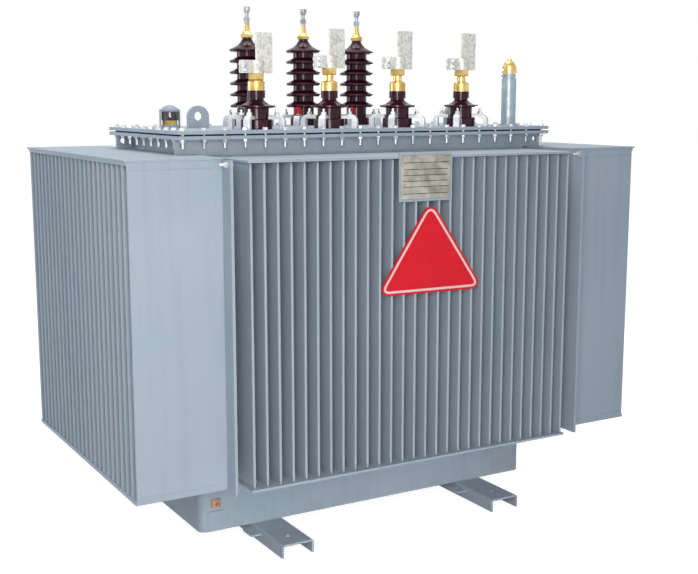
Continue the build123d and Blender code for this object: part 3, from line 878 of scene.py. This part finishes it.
# bolt through the top of each corner strip, its nut and long tail to the left
def makeStripBolt():
    size = stripBolt
    face = size["grip"] / 2
    seatLevel = face + size["washerHeight"]
    nutFoot = -seatLevel - size["nutHeight"]
    head = hexagon(size["head"], seatLevel, seatLevel + size["headHeight"])
    soften(head, facesUp, size["edge"])
    headWasher = prism(size["washerSides"], size["washer"], face, seatLevel)
    nutWasher = prism(size["washerSides"], size["washer"], -seatLevel, -face)
    nut = hexagon(size["nut"], nutFoot, -seatLevel)
    soften(nut, facesDown, size["edge"])
    tail = prism(size["sides"], size["radius"], nutFoot - size["tail"], face)
    soften(tail, facesDown, size["edge"], segments=1)
    return joined([head, headWasher, nutWasher, nut, tail], "strip_bolt")


def stripBoltPlaces():
    places = []
    for side, outward in endBanks:
        finLow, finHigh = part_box(f"{side}_fins")
        back = finHigh.x if outward < 0 else finLow.x
        x = back + outward * stripBolt["grip"] / 2
        for y in (finLow.y + stripBolt["inset"], finHigh.y - stripBolt["inset"]):
            spot = Matrix.Translation((x, y, finHigh.z - stripBolt["drop"]))
            places.append(spot @ Matrix.Rotation(math.pi / 2, 4, "Y"))
    return places


seat(spread(makeStripBolt(), stripBoltPlaces(), "strip_bolts"), "bolt_zinc")
print("strips bolted")

floorLook = dict(size=60.0, tone=chip(178, 180, 182), rough=0.9, share=0.42, glow=2.23)


# pale floor that reads white to the camera and keeps a soft shadow
def makeFloor():
    clearSelection()
    bpy.ops.mesh.primitive_plane_add(size=floorLook["size"], location=(0, 0, 0))
    floor = bpy.context.object
    floor.name = "floor"
    ground = Finish(bpy.data.materials.new("floor"))
    ground.set(Base_Color=floorLook["tone"], Roughness=floorLook["rough"])
    glow = ground.node("Emission", {}, {"Color": white, "Strength": floorLook["glow"]})
    ground.showWhereSeen(glow, floorLook["share"])
    floor.data.materials.append(ground.owner)


makeFloor()

skyLook = dict(fill=0.3, tone=(0.83, 0.94, 1.11, 1.0), share=1.0)


# even white sky; lamps carry the shape
def makeSky():
    sky = Finish(bpy.data.worlds.new("sky"))
    sky.set(Color=skyLook["tone"], Strength=skyLook["fill"])
    sky.showWhereSeen(sky.node("Background", {}, {"Color": white}), skyLook["share"])
    bpy.context.scene.world = sky.owner


makeSky()

warm, cool = (1.0, 0.95, 0.89), (0.9, 0.97, 1.0)
lamps = dict(
    key=dict(place=(-2.0, -3.2, 1.9), target=(-0.85, -0.4, 0.85), size=1.4, power=44.5, tone=warm),
    top=dict(place=(0.0, 0.5, 5.0), target=(0.0, 0.0, 1.5), size=3.0, power=92),
    low=dict(place=(-1.2, -4.4, 0.5), target=(0.0, -0.3, 0.2), size=1.6, power=34),
    # a flat strip for the shaded skirt
    skirt=dict(
        place=(-0.2, -2.4, 0.12), target=(-0.2, -0.3, 0.12), size=1.6, power=0.36, tone=cool,
        height=0.12, beam=22,
    ),
    flash=dict(place=(-2.0, -4.1, 1.42), target=(-0.1, 0.0, 1.4), size=0.3, power=13),
    rearLeft=dict(place=(-3.4, 2.6, 2.4), target=(-0.5, 0.3, 0.9), size=1.8, power=46, tone=cool),
    rearRight=dict(place=(3.2, 3.2, 0.75), target=(0.4, 0.3, 0.8), size=1.2, power=66),
)


def makeLamp(name, place, target, size, power, tone=(1, 1, 1), height=None, beam=180):
    lamp = bpy.data.lights.new(name, "AREA")
    lamp.shape = "RECTANGLE" if height else "DISK"
    lamp.size = size
    lamp.size_y = height or size
    lamp.energy = power
    lamp.color = tone
    lamp.spread = math.radians(beam)
    holder = bpy.data.objects.new(name, lamp)
    holder.location = place
    holder.visible_camera = False
    holder.rotation_euler = (Vector(target) - Vector(place)).to_track_quat("-Z", "Y").to_euler()
    bpy.context.scene.collection.objects.link(holder)


for name, lamp in lamps.items():
    makeLamp(name, **lamp)

view = dict(place=(-2.2643, -4.0235, 1.6272), tilt=80.632, swing=-30.153, lens=58.48, sensor=36.0)
lens = bpy.data.cameras.new("camera")
lens.lens = view["lens"]
lens.sensor_width = view["sensor"]
camera = bpy.data.objects.new("camera", lens)
camera.location = view["place"]
camera.rotation_euler = (math.radians(view["tilt"]), 0.0, math.radians(view["swing"]))
bpy.context.scene.collection.objects.link(camera)
bpy.context.scene.camera = camera
bpy.context.scene.view_settings.view_transform = "Standard"
print("stage lit")
